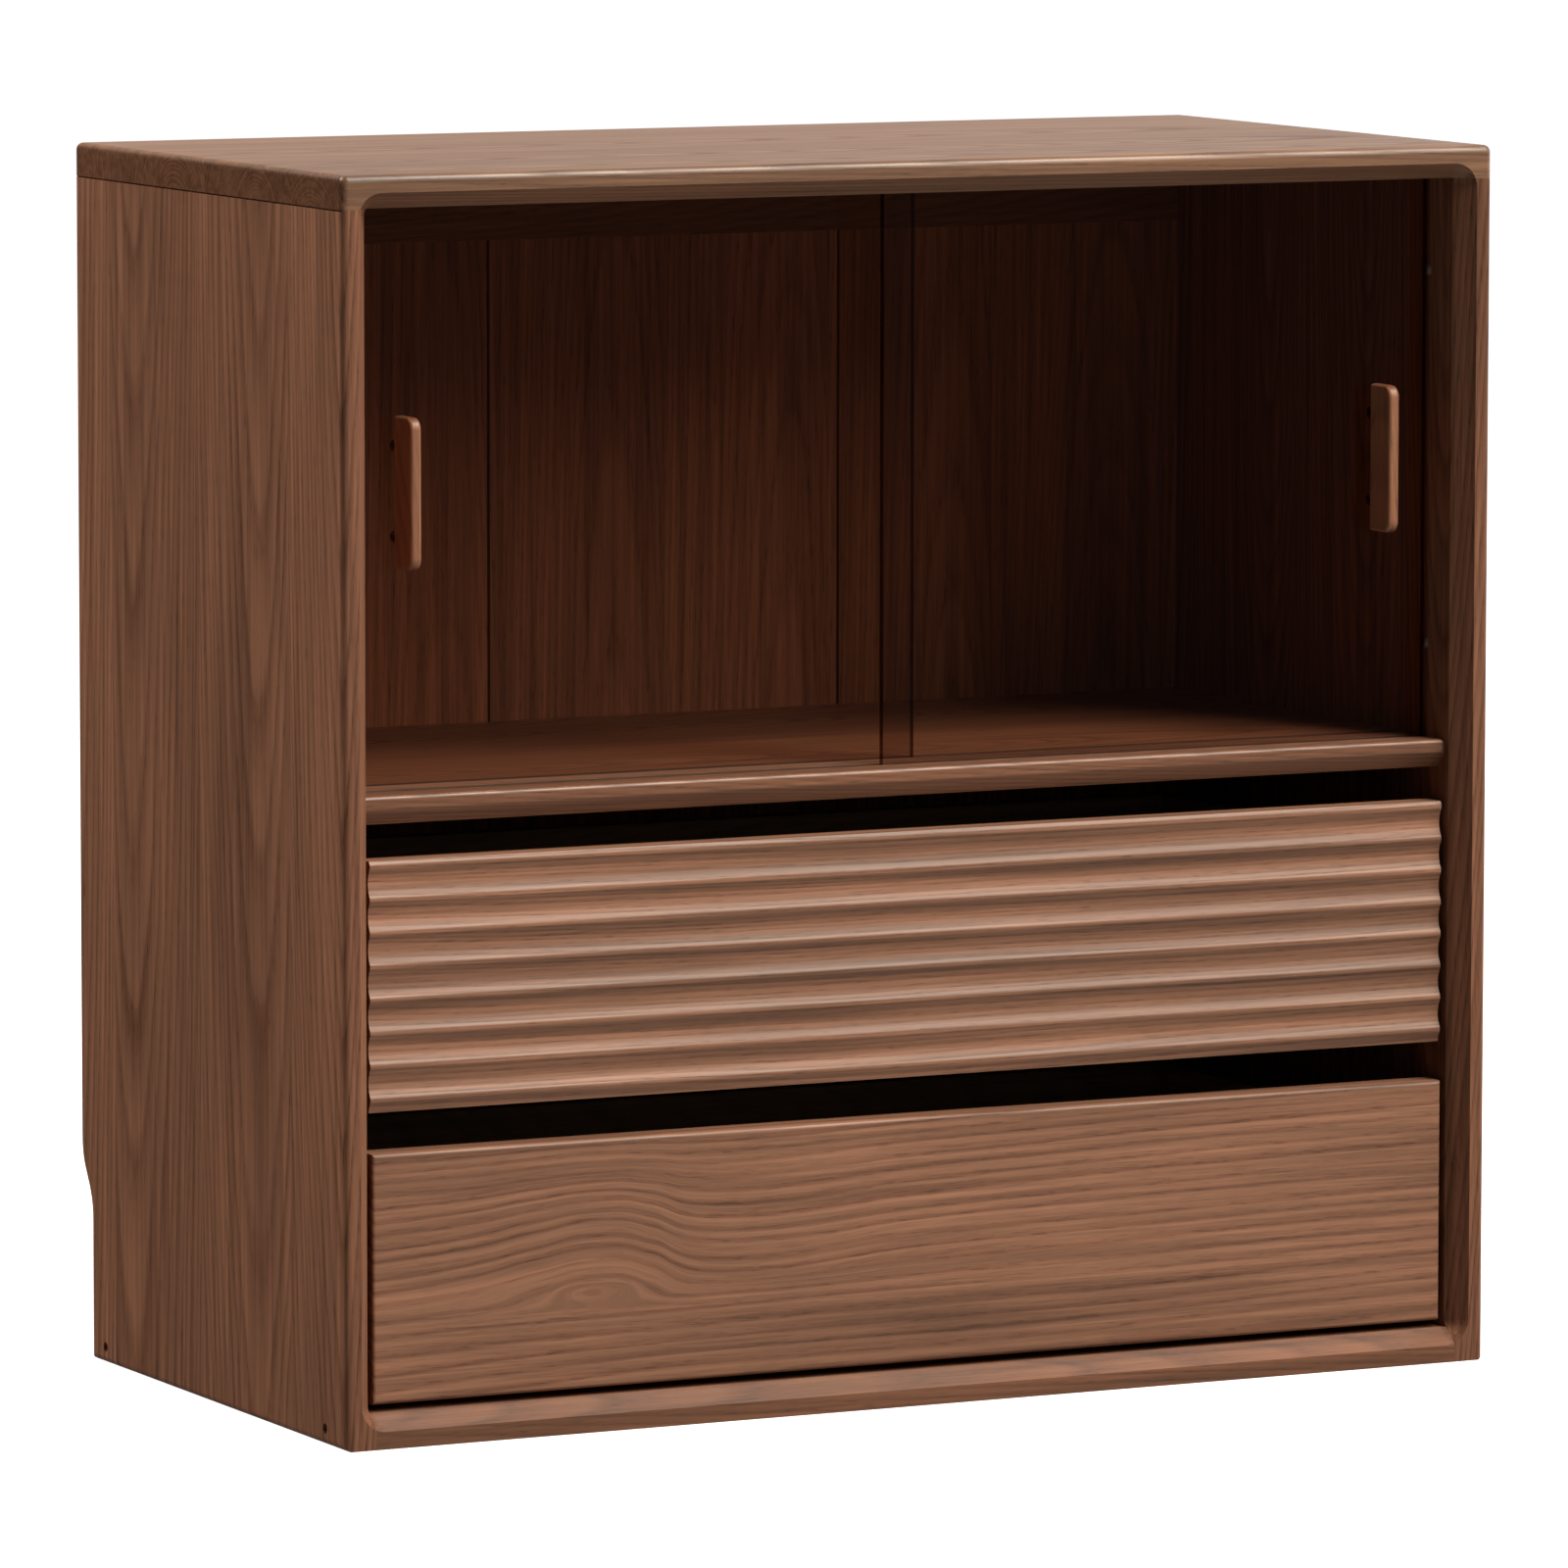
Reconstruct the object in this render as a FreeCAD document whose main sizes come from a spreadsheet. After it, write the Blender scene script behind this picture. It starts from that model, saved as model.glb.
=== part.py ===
import FreeCAD, Part
import math
import os

import Sketcher
from FreeCAD import Rotation, Vector

# Media cabinet: a wooden carcass with two sliding glass doors over two drawers.
# Millimetres, +X to the right, +Y to the back, +Z up. The origin is on the floor,
# in the middle of the footprint. "Depth" is measured from the front plane backwards.

DRIVING_SIZES = {
    "cabinet_width": 800,
    "cabinet_depth": 415,
    "cabinet_height": 780,
    "panel_thickness": 21,
    "top_thickness": 21,
    "outer_round": 4.5,
    # The fine shadow line where each side meets the top.
    "joint_line_depth": 1.2,
    "joint_line_height": 0.9,
    # The front edge of the frame: a flat face, then a bevel into the opening.
    "frame_face": 11,
    "bevel_depth": 14,
    "bevel_corner": 16,
    "bevel_inner_corner": 4,
    # The step at the back of each side, which clears a skirting board.
    "skirting_depth": 17,
    "skirting_height": 102,
    "skirting_blend": 28,
    "skirting_curve": 40,
    # The back: three tongued boards under a rail, let into grooves in the sides.
    "back_recess": 22,
    "back_thickness": 13,
    "back_groove": 6,
    "back_rail_height": 47,
    "board_gap": 2,
    "tongue_length": 6.5,
    "tongue_thickness": 4,
    "tongue_groove": 5,
    # The fixed shelf under the doors.
    "shelf_height": 400,
    "shelf_thickness": 18,
    "shelf_setback": 18,
    "shelf_face": 8,
    "shelf_bevel": 9,
    "shelf_round": 2.5,
    # The glass doors and their tracks.
    "glass_thickness": 5,
    "glass_depth": 42,
    # The tracks are far enough apart for the rear door's handle to pass the front pane.
    "glass_spacing": 31.5,
    "left_pane_reach": 26,
    "right_pane_reach": 12,
    "glass_end_gap": 2.5,
    "glass_round": 0.8,
    "channel_width": 6.4,
    "track_wall": 1.8,
    "lower_track_height": 6,
    "lower_channel": 4.5,
    "upper_track_height": 12,
    "upper_channel": 10.5,
    "glass_lift": 0.3,
    "glass_engagement": 6.5,
    "handle_length": 94,
    "handle_thickness": 7.5,
    "handle_reach": 24.5,
    "handle_corner": 7.5,
    "handle_round": 2.2,
    "left_handle_inset": 50.5,
    "right_handle_inset": 39,
    "handle_height": 580.5,
    "handle_screw_span": 56,
    "bumper_radius": 4,
    "bumper_height": 1.8,
    "bumper_inset": 60,
    # The drawers.
    "drawer_front_height": 155,
    "drawer_front_back": 34,
    "flat_front_thickness": 20,
    "fluted_front_thickness": 18,
    "drawer_end_gap": 3.5,
    "lower_drawer_base": 25.5,
    "upper_drawer_base": 205.5,
    "front_round": 2.4,
    "flute_pitch": 20.5,
    "flute_depth": 3,
    "flute_radius": 15,
    "first_crest": 3.5,
    "crest_round": 2.6,
    "box_board": 12,
    "box_rise": 14,
    "box_height": 112,
    "box_length": 330,
    "floor_thickness": 6,
    "floor_rise": 10,
    "floor_groove": 5,
    # The drawer runners: three nested steel channels on each side.
    "runner_length": 300,
    "runner_front": 36,
    "runner_space": 12.7,
    "runner_gauge": 1.2,
    "runner_rise": 50,
    "outer_half_height": 22.5,
    "outer_reach": 9.5,
    "middle_half_height": 19,
    "middle_back": 3.4,
    "middle_reach": 11,
    "inner_half_height": 15.5,
    "inner_reach": 6,
    # Dowels and screws.
    "fit_gap": 0.1,
    "dowel_radius": 4,
    "dowel_length": 30,
    "dowel_blind": 10,
    "small_dowel_radius": 3,
    "small_dowel_length": 24,
    "screw_radius": 2,
    "screw_head_radius": 3.1,
    "screw_head_height": 3,
    "screw_sink": 2.5,
    "screw_length": 50,
    "screw_front_inset": 31,
    "screw_rear_inset": 40,
    "pan_radius": 3,
    "pan_height": 1.2,
    "pan_shank_radius": 1.6,
    "pan_shank_length": 9,
    "pan_inset": 40,
    "handle_screw_radius": 2,
    "handle_screw_depth": 14,
    "handle_screw_head_radius": 4,
    "handle_screw_head_height": 1.5,
}

FLUTES = 9
TOP_DOWEL_PLACES = (0.14, 0.5, 0.84)
SHELF_DOWEL_PLACES = (0.28, 0.5, 0.8)
TOLERANCE = 0.01

document = FreeCAD.newDocument("MediaCabinet")
sheet = document.addObject("Spreadsheet::Sheet", "Sizes")
nodes = []


class Size:
    """A length in millimetres, with the sheet expression that gives it."""

    def __init__(self, value, text):
        self.value = value
        self.text = text

    def __add__(self, other):
        other = as_size(other)
        return Size(self.value + other.value, f"({self.text} + {other.text})")

    def __sub__(self, other):
        other = as_size(other)
        return Size(self.value - other.value, f"({self.text} - {other.text})")

    def __mul__(self, other):
        other = as_size(other)
        return Size(self.value * other.value, f"({self.text} * {other.text})")

    def __truediv__(self, other):
        other = as_size(other)
        return Size(self.value / other.value, f"({self.text} / {other.text})")

    def __neg__(self):
        return Size(-self.value, f"(0 - {self.text})")


def as_size(number):
    if isinstance(number, Size):
        return number
    return Size(float(number), f"({float(number)})")


def fill_sheet():
    for row, (name, value) in enumerate(DRIVING_SIZES.items(), 1):
        sheet.set(f"A{row}", name)
        sheet.set(f"B{row}", str(value))
        sheet.setAlias(f"B{row}", name)
    document.recompute()


def cell(name):
    return Size(float(DRIVING_SIZES[name]), f"Sizes.{name}")


# ---- Drawing helpers ----------------------------------------------------------------


def keep(shape_object, label):
    """Names an object as one of the cabinet's pieces."""
    shape_object.Label = label
    nodes.append(shape_object)
    return shape_object


def origin_plane(body, role):
    return next(plane for plane in body.Origin.OriginFeatures if plane.Role == role)


def attach(body, sketch, role, offset):
    sketch.AttachmentSupport = [(origin_plane(body, role), "")]
    sketch.MapMode = "FlatFace"
    sketch.setExpression("AttachmentOffset.Base.z", offset.text)


def constrain(sketch, kind, geometry, point, size):
    """Sets a point's distance from the sketch's origin, along X or along Y."""
    number = sketch.addConstraint(Sketcher.Constraint(kind, -1, 1, geometry, point, size.value))
    sketch.setExpression(f"Constraints[{number}]", size.text)


def draw_outline(sketch, corners):
    points = [Vector(across.value, up.value, 0) for across, up in corners]
    for start, finish in zip(points, points[1:] + points[:1]):
        sketch.addGeometry(Part.LineSegment(start, finish), False)
    for index, (across, up) in enumerate(corners):
        before = (index - 1) % len(corners)
        sketch.addConstraint(Sketcher.Constraint("Coincident", before, 2, index, 1))
        constrain(sketch, "DistanceX", index, 1, across)
        constrain(sketch, "DistanceY", index, 1, up)


def rectangle(across, up):
    return [(across[0], up[0]), (across[1], up[0]), (across[1], up[1]), (across[0], up[1])]


def padded_body(name, role, corners, low, high):
    """A body padded from an outline, between two positions along the plane's normal axis."""
    body = document.addObject("PartDesign::Body", name)
    sketch = body.newObject("Sketcher::SketchObject", name + "_outline")
    # The XZ plane's normal points to -Y, so its outline lies on the far face.
    offset = -high if role == "XZ_Plane" else low
    attach(body, sketch, role, offset)
    draw_outline(sketch, corners)
    pad = body.newObject("PartDesign::Pad", name + "_pad")
    pad.Profile = sketch
    pad.setExpression("Length", (high - low).text)
    sketch.Visibility = False
    document.recompute()
    return body


def lies_in(edge, planes):
    box = edge.BoundBox
    limits = {"x": (box.XMin, box.XMax), "y": (box.YMin, box.YMax), "z": (box.ZMin, box.ZMax)}
    return all(
        abs(limit - place.value) < TOLERANCE
        for axis, place in planes.items()
        for limit in limits[axis]
    )


def round_edges(body, radius, chosen):
    """Fillets the edges of the body's last feature for which chosen(edge) is true."""
    document.recompute()
    base = body.Tip
    names = [f"Edge{n}" for n, edge in enumerate(base.Shape.Edges, 1) if chosen(edge)]
    fillet = body.newObject("PartDesign::Fillet", body.Name + "_round")
    fillet.Base = (base, names)
    fillet.setExpression("Radius", radius.text)
    document.recompute()
    return fillet


def box(name, across, back, up):
    block = document.addObject("Part::Box", name)
    for side, axis, (low, high) in zip(("Length", "Width", "Height"), "xyz", (across, back, up)):
        block.setExpression(side, (high - low).text)
        block.setExpression(f"Placement.Base.{axis}", low.text)
    return block


AXIS_TURNS = {
    "+x": Rotation(Vector(0, 1, 0), 90),
    "-x": Rotation(Vector(0, 1, 0), -90),
    "+y": Rotation(Vector(1, 0, 0), -90),
    "-y": Rotation(Vector(1, 0, 0), 90),
    "+z": Rotation(),
}


def rod(name, place, direction, radius, length):
    """A cylinder that starts at a place and runs along a row axis."""
    cylinder = document.addObject("Part::Cylinder", name)
    cylinder.Placement.Rotation = AXIS_TURNS[direction]
    for axis, position in zip("xyz", place):
        cylinder.setExpression(f"Placement.Base.{axis}", as_size(position).text)
    cylinder.setExpression("Radius", radius.text)
    cylinder.setExpression("Height", length.text)
    return cylinder


def stepped_rod(name, place, direction, head, shank):
    """A screw or its hole: a head and a shank in one line, each a radius and a length."""
    sign = as_size(-1 if direction[0] == "-" else 1)
    start = list(map(as_size, place))
    head_rod = rod(name + "_head", start, direction, *head)
    shank_start = list(start)
    index = "xyz".index(direction[1])
    shank_start[index] = start[index] + sign * head[1]
    shank_rod = rod(name + "_shank", shank_start, direction, *shank)
    return fuse(name, [head_rod, shank_rod])


def group(name, members):
    compound = document.addObject("Part::Compound", name)
    compound.Links = members
    return compound


def fuse(name, members):
    joined = document.addObject("Part::MultiFuse", name)
    joined.Shapes = members
    return joined


def cut(name, base, tools):
    """Takes tools that don't meet each other away from a piece."""
    result = document.addObject("Part::Cut", name)
    result.Base = base
    result.Tool = tools[0] if len(tools) == 1 else group(name + "_tools", tools)
    return result


# ---- The main positions -------------------------------------------------------------

fill_sheet()
width, depth, height = cell("cabinet_width"), cell("cabinet_depth"), cell("cabinet_height")
panel, top_thickness = cell("panel_thickness"), cell("top_thickness")
gap = cell("fit_gap")
zero = as_size(0)
left, right = -width / 2, width / 2
front, rear = -depth / 2, depth / 2
inner_left, inner_right = left + panel, right - panel
ceiling = height - top_thickness
shelf_top = cell("shelf_height")
shelf_bottom = shelf_top - cell("shelf_thickness")
back_front = rear - cell("back_recess") - cell("back_thickness")
back_rear = rear - cell("back_recess")
skirting_rear = rear - cell("skirting_depth")

# Each side of the cabinet: its name, the inner face of its panel, its outer face,
# and the direction from the panel into the cabinet.
SIDES = {
    "left": {"wall": inner_left, "outside": left, "inward": as_size(1), "axis": "+x"},
    "right": {"wall": inner_right, "outside": right, "inward": as_size(-1), "axis": "-x"},
}
DRAWERS = {
    "upper": cell("upper_drawer_base"),
    "lower": cell("lower_drawer_base"),
}


def at_depth(distance):
    return front + distance


def span(start, finish):
    """The two positions in rising order."""
    return (start, finish) if start.value <= finish.value else (finish, start)


# ---- Fasteners in the carcass -------------------------------------------------------


def dowel_rods(name, extra):
    """The dowels that hold the top and the shelf, or their holes with a little extra."""
    radius = cell("dowel_radius") + extra
    length = cell("dowel_length") + extra * 2
    rods = []
    for side in SIDES.values():
        middle = (side["wall"] + side["outside"]) / 2
        for share in TOP_DOWEL_PLACES:
            start = ceiling - (cell("dowel_length") - cell("dowel_blind")) - extra
            rods.append(rod(name, (middle, front + depth * share, start), "+z", radius, length))
        for share in SHELF_DOWEL_PLACES:
            start = side["wall"] - side["inward"] * (cell("dowel_blind") + extra)
            level = (shelf_top + shelf_bottom) / 2
            place = (start, front + depth * share, level)
            rods.append(rod(name, place, side["axis"], radius, length))
    return rods


def bottom_screw_rods(name, extra, open_to_outside):
    """The sunk screws through each side into the bottom, or the holes for them."""
    sink = cell("screw_sink")
    head_height = cell("screw_head_height")
    shank = cell("screw_length") - head_height
    rods = []
    for side in SIDES.values():
        for y in (at_depth(cell("screw_front_inset")), rear - cell("screw_rear_inset")):
            start = side["outside"] + (zero if open_to_outside else side["inward"] * sink)
            head = (
                cell("screw_head_radius") + extra,
                head_height + (sink + extra if open_to_outside else zero),
            )
            place = (start, y, panel / 2)
            shaft = (cell("screw_radius") + extra, shank + extra)
            rods.append(stepped_rod(name, place, side["axis"], head, shaft))
    return rods


def runner_level(base):
    return base + cell("runner_rise") + cell("box_rise")


def runner_screw_depths():
    start = at_depth(cell("runner_front"))
    return (start + cell("pan_inset"), start + cell("runner_length") - cell("pan_inset"))


def outer_runner_screws(name, extra):
    """The pan-head screws that hold the outer runner members, or their pilot holes."""
    rods = []
    for side in SIDES.values():
        outward = "-x" if side["axis"] == "+x" else "+x"
        for base in DRAWERS.values():
            for y in runner_screw_depths():
                head_start = side["wall"] + side["inward"] * (
                    cell("runner_gauge") + cell("pan_height")
                )
                place = (head_start, y, runner_level(base))
                head = (cell("pan_radius"), cell("pan_height"))
                shank = (cell("pan_shank_radius") + extra, cell("pan_shank_length") + extra)
                rods.append(stepped_rod(name, place, outward, head, shank))
    return rods


# ---- The carcass --------------------------------------------------------------------


def rounded_rectangle(name, across, up, radius, y):
    """An outline with round corners, in a plane that faces the front."""
    sketch = document.addObject("Sketcher::SketchObject", name)
    sketch.Placement.Rotation = Rotation(Vector(1, 0, 0), 90)
    sketch.setExpression("Placement.Base.y", y.text)
    low_x, high_x = across[0].value, across[1].value
    low_z, high_z = up[0].value, up[1].value
    reach = radius.value
    # Each corner: its arc's centre and the angle at which its arc starts.
    corners = (
        (high_x - reach, low_z + reach, -math.pi / 2),
        (high_x - reach, high_z - reach, 0),
        (low_x + reach, high_z - reach, math.pi / 2),
        (low_x + reach, low_z + reach, math.pi),
    )
    arcs = []
    for x, z, angle in corners:
        circle = Part.Circle(Vector(x, z, 0), Vector(0, 0, 1), reach)
        arcs.append(Part.ArcOfCircle(circle, angle, angle + math.pi / 2))
    # Even numbers are the straight sides, starting with the lowest; odd ones are the arcs.
    for number, arc in enumerate(arcs):
        sketch.addGeometry(Part.LineSegment(arcs[number - 1].EndPoint, arc.StartPoint), False)
        sketch.addGeometry(arc, False)
    pieces = 2 * len(arcs)
    for number in range(pieces):
        following = (number + 1) % pieces
        sketch.addConstraint(Sketcher.Constraint("Tangent", number, 2, following, 1))
    for number in range(0, pieces, 2):
        direction = "Vertical" if number % 4 else "Horizontal"
        sketch.addConstraint(Sketcher.Constraint(direction, number))
    for number in range(3, pieces, 2):
        sketch.addConstraint(Sketcher.Constraint("Equal", 1, number))
    size = sketch.addConstraint(Sketcher.Constraint("Radius", 1, reach))
    sketch.setExpression(f"Constraints[{size}]", radius.text)
    constrain(sketch, "DistanceY", 0, 1, up[0])
    constrain(sketch, "DistanceX", 2, 1, across[1])
    constrain(sketch, "DistanceY", 4, 1, up[1])
    constrain(sketch, "DistanceX", 6, 1, across[0])
    return sketch


def frame_bevel():
    """The tapered space in front of the opening, which bevels the frame all round."""
    face = cell("frame_face")
    outline = rounded_rectangle(
        "bevel_front",
        (left + face, right - face),
        (face, height - face),
        cell("bevel_corner"),
        front,
    )
    inner_outline = rounded_rectangle(
        "bevel_back",
        (inner_left, inner_right),
        (panel, ceiling),
        cell("bevel_inner_corner"),
        at_depth(cell("bevel_depth")),
    )
    loft = document.addObject("Part::Loft", "frame_bevel")
    loft.Sections = [outline, inner_outline]
    loft.Solid = True
    loft.Ruled = True
    return loft


def glass_front(door):
    """The front plane of a pane: the right-hand one runs in the front track."""
    setback = cell("glass_spacing") if door == "left" else zero
    return at_depth(cell("glass_depth") + setback)


def track_limits(door):
    """The front and back faces of the tracks that a door runs in."""
    middle = glass_front(door) + cell("glass_thickness") / 2
    half_width = cell("channel_width") / 2 + cell("track_wall")
    return middle - half_width, middle + half_width


def track_grooves(name, up):
    grooves = []
    for door in SIDES:
        start, finish = track_limits(door)
        grooves.append(box(name, (inner_left, inner_right), (start - gap, finish + gap), up))
    return grooves


def top_panel(bevel):
    outline = rectangle((left, right), (front, rear))
    body = padded_body("top_blank", "XY_Plane", outline, ceiling, height)
    corners = [{"x": x, "y": y} for x in (left, right) for y in (front, rear)]
    chosen = [{"z": height}] + corners
    round_edges(body, cell("outer_round"), lambda edge: any(lies_in(edge, c) for c in chosen))
    cuts = track_grooves("top_groove", (ceiling, ceiling + cell("upper_track_height")))
    cuts += dowel_rods("top_dowel_hole", gap)
    keep(cut("top_panel", body, [bevel, group("top_cuts", cuts)]), "top_panel")


def side_panel(name, side, bevel):
    corners = [
        (front, zero),
        (skirting_rear, zero),
        (skirting_rear, cell("skirting_height")),
        (rear, cell("skirting_height") + cell("skirting_blend")),
        (rear, ceiling),
        (front, ceiling),
    ]
    low, high = span(side["wall"], side["outside"])
    body = padded_body(name + "_side_blank", "YZ_Plane", corners, low, high)
    bends = [
        {"y": skirting_rear, "z": cell("skirting_height")},
        {"y": rear, "z": cell("skirting_height") + cell("skirting_blend")},
    ]
    round_edges(body, cell("skirting_curve"), lambda edge: any(lies_in(edge, b) for b in bends))
    outside = {"x": side["outside"]}
    round_edges(
        body,
        cell("outer_round"),
        lambda edge: lies_in(edge, outside) and not lies_in(edge, {"z": ceiling}),
    )
    groove_end = side["wall"] - side["inward"] * (cell("back_groove") + gap)
    groove = box(
        name + "_back_groove",
        span(groove_end, side["wall"]),
        (back_front - gap, back_rear + gap),
        (panel, ceiling),
    )
    holes = dowel_rods(name + "_dowel_hole", gap)
    holes += bottom_screw_rods(name + "_screw_hole", gap, True)
    holes += outer_runner_screws(name + "_pilot_hole", gap)
    line_end = side["outside"] + side["inward"] * cell("joint_line_depth")
    line = box(
        name + "_joint_line",
        span(side["outside"], line_end),
        (front, rear),
        (ceiling - cell("joint_line_height"), ceiling),
    )
    label = name + "_side_panel"
    keep(cut(label, body, [bevel, group(name + "_cuts", [groove, line] + holes)]), label)


def bottom_panel(bevel):
    outline = rectangle((front, skirting_rear), (zero, panel))
    body = padded_body("bottom_blank", "YZ_Plane", outline, inner_left, inner_right)
    holes = bottom_screw_rods("bottom_screw_hole", gap, True)
    keep(cut("bottom_panel", body, [bevel, group("bottom_cuts", holes)]), "bottom_panel")


def middle_shelf():
    nose = at_depth(cell("shelf_setback"))
    face_end = shelf_top - cell("shelf_face")
    corners = [
        (nose, shelf_top),
        (nose, face_end),
        (nose + cell("shelf_bevel"), shelf_bottom),
        (back_front - gap, shelf_bottom),
        (back_front - gap, shelf_top),
    ]
    body = padded_body("shelf_blank", "YZ_Plane", corners, inner_left, inner_right)
    soft = [{"y": nose, "z": shelf_top}, {"y": nose, "z": face_end}]
    round_edges(body, cell("shelf_round"), lambda edge: any(lies_in(edge, s) for s in soft))
    cuts = track_grooves("shelf_groove", (shelf_top - cell("lower_track_height"), shelf_top))
    cuts += dowel_rods("shelf_dowel_hole", gap)
    keep(cut("middle_shelf", body, cuts), "middle_shelf")


def back_boards():
    """Three equal boards; the middle one's tongues run in the outer ones' grooves."""
    board_top = ceiling - cell("back_rail_height")
    middle = (back_front + back_rear) / 2
    third = (inner_right - inner_left) / 3
    half_gap = cell("board_gap") / 2
    tongue = span(middle - cell("tongue_thickness") / 2, middle + cell("tongue_thickness") / 2)
    slot = (tongue[0] - gap, tongue[1] + gap)
    for name, side in SIDES.items():
        outer = side["wall"] - side["inward"] * cell("back_groove")
        inner = side["wall"] + side["inward"] * (third - half_gap)
        slot_end = inner - side["inward"] * cell("tongue_groove")
        corners = [
            (outer, back_front),
            (inner, back_front),
            (inner, slot[0]),
            (slot_end, slot[0]),
            (slot_end, slot[1]),
            (inner, slot[1]),
            (inner, back_rear),
            (outer, back_rear),
        ]
        label = "back_board_" + name
        keep(padded_body(label, "XY_Plane", corners, panel, board_top), label)
    low, high = inner_left + third + half_gap, inner_right - third - half_gap
    reach = cell("tongue_length")
    corners = [
        (low, back_front),
        (high, back_front),
        (high, tongue[0]),
        (high + reach, tongue[0]),
        (high + reach, tongue[1]),
        (high, tongue[1]),
        (high, back_rear),
        (low, back_rear),
        (low, tongue[1]),
        (low - reach, tongue[1]),
        (low - reach, tongue[0]),
        (low, tongue[0]),
    ]
    keep(padded_body("back_board_centre", "XY_Plane", corners, panel, board_top), "back_board_centre")


def back_rail():
    reach = cell("back_groove")
    outline = rectangle((inner_left - reach, inner_right + reach), (back_front, back_rear))
    low = ceiling - cell("back_rail_height")
    keep(padded_body("back_rail", "XY_Plane", outline, low, ceiling), "back_top_rail")


# ---- The doors ----------------------------------------------------------------------


def door_track(label, door, floor, mouth, channel):
    """A U-shaped strip, let into the wood, that opens at the wood's surface."""
    start, finish = track_limits(door)
    wall = cell("track_wall")
    bed = mouth + (channel if mouth.value < floor.value else -channel)
    corners = [
        (start, floor),
        (start, mouth),
        (start + wall, mouth),
        (start + wall, bed),
        (finish - wall, bed),
        (finish - wall, mouth),
        (finish, mouth),
        (finish, floor),
    ]
    keep(padded_body(label, "YZ_Plane", corners, inner_left, inner_right), label)


def door_tracks(door):
    place = "rear" if door == "left" else "front"
    bottom = shelf_top - cell("lower_track_height") + gap
    door_track(f"lower_{place}_track", door, bottom, shelf_top, cell("lower_channel"))
    top = ceiling + cell("upper_track_height") - gap
    door_track(f"upper_{place}_track", door, top, ceiling, cell("upper_channel"))


def handle_middle(door):
    side = SIDES[door]
    return side["wall"] + side["inward"] * cell(door + "_handle_inset")


def handle_screw_rods(name, door, extra):
    """The screws that hold a door's handle from behind the glass, or their holes."""
    rods = []
    glass_back = glass_front(door) + cell("glass_thickness")
    for sign in (-1, 1):
        level = cell("handle_height") + cell("handle_screw_span") * (sign / 2)
        start = glass_back + cell("handle_screw_head_height")
        place = (handle_middle(door), start, level)
        head = (cell("handle_screw_head_radius"), cell("handle_screw_head_height"))
        shank = (
            cell("handle_screw_radius") + extra,
            cell("glass_thickness") + cell("handle_screw_depth") + extra,
        )
        rods.append(stepped_rod(name, place, "-y", head, shank))
    return rods


def glass_door(name, side):
    outer = side["wall"] + side["inward"] * cell("glass_end_gap")
    inner = side["inward"] * cell(name + "_pane_reach")
    low = shelf_top - cell("lower_channel") + cell("glass_lift")
    high = ceiling + cell("glass_engagement")
    face = glass_front(name)
    outline = rectangle(span(outer, inner), (low, high))
    thickness = cell("glass_thickness")
    body = padded_body(name + "_pane", "XZ_Plane", outline, face, face + thickness)
    faces = [{"y": face}, {"y": face + thickness}]
    round_edges(body, cell("glass_round"), lambda edge: any(lies_in(edge, f) for f in faces))
    holes = handle_screw_rods(name + "_pane_hole", name, gap)
    keep(cut(name + "_glass_door", body, holes), name + "_glass_door")


def door_handle(name):
    face = glass_front(name)
    tip = face - cell("handle_reach")
    middle = handle_middle(name)
    half = cell("handle_thickness") / 2
    low = cell("handle_height") - cell("handle_length") / 2
    high = cell("handle_height") + cell("handle_length") / 2
    outline = rectangle((tip, face), (low, high))
    body = padded_body(name + "_handle_blank", "YZ_Plane", outline, middle - half, middle + half)
    corners = [{"y": tip, "z": low}, {"y": tip, "z": high}]
    round_edges(body, cell("handle_corner"), lambda edge: any(lies_in(edge, c) for c in corners))
    broad = [{"x": middle - half}, {"x": middle + half}]
    round_edges(
        body,
        cell("handle_round"),
        lambda edge: any(lies_in(edge, b) for b in broad) and not lies_in(edge, {"y": face}),
    )
    holes = handle_screw_rods(name + "_handle_hole", name, gap)
    keep(cut(name + "_door_handle", body, holes), name + "_door_handle")


def door_bumpers(name, side):
    """Low domes on the wall of the cabinet, where the edge of the pane comes to rest."""
    radius, rise = cell("bumper_radius"), cell("bumper_height")
    sphere_radius = (radius * radius + rise * rise) / (rise * 2)
    y = glass_front(name) + cell("glass_thickness") / 2
    domes = []
    for level in (shelf_top + cell("bumper_inset"), ceiling - cell("bumper_inset")):
        ball = document.addObject("Part::Sphere", name + "_bumper_ball")
        ball.setExpression("Radius", sphere_radius.text)
        middle = side["wall"] + side["inward"] * (rise - sphere_radius)
        for axis, position in zip("xyz", (middle, y, level)):
            ball.setExpression(f"Placement.Base.{axis}", position.text)
        room = box(
            name + "_bumper_room",
            span(side["wall"], side["wall"] + side["inward"] * rise),
            (y - radius, y + radius),
            (level - radius, level + radius),
        )
        dome = document.addObject("Part::Common", name + "_bumper")
        dome.Base, dome.Tool = ball, room
        domes.append(dome)
    keep(group(name + "_door_bumpers", domes), name + "_door_bumpers")


# ---- The drawers --------------------------------------------------------------------


def box_side(side):
    """The outer and inner faces of a drawer's side board."""
    outer = side["wall"] + side["inward"] * cell("runner_space")
    return outer, outer + side["inward"] * cell("box_board")


def drawer_joint_rods(name, base, extra):
    """The dowels between a drawer's front and its side boards, or their holes."""
    rods = []
    length = cell("small_dowel_length")
    for side in SIDES.values():
        outer, inner = box_side(side)
        for share in (0.25, 0.75):
            level = base + cell("box_rise") + cell("box_height") * share
            start = at_depth(cell("drawer_front_back")) - length / 2 - extra
            place = ((outer + inner) / 2, start, level)
            radius = cell("small_dowel_radius") + extra
            rods.append(rod(name, place, "+y", radius, length + extra * 2))
    return rods


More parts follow.
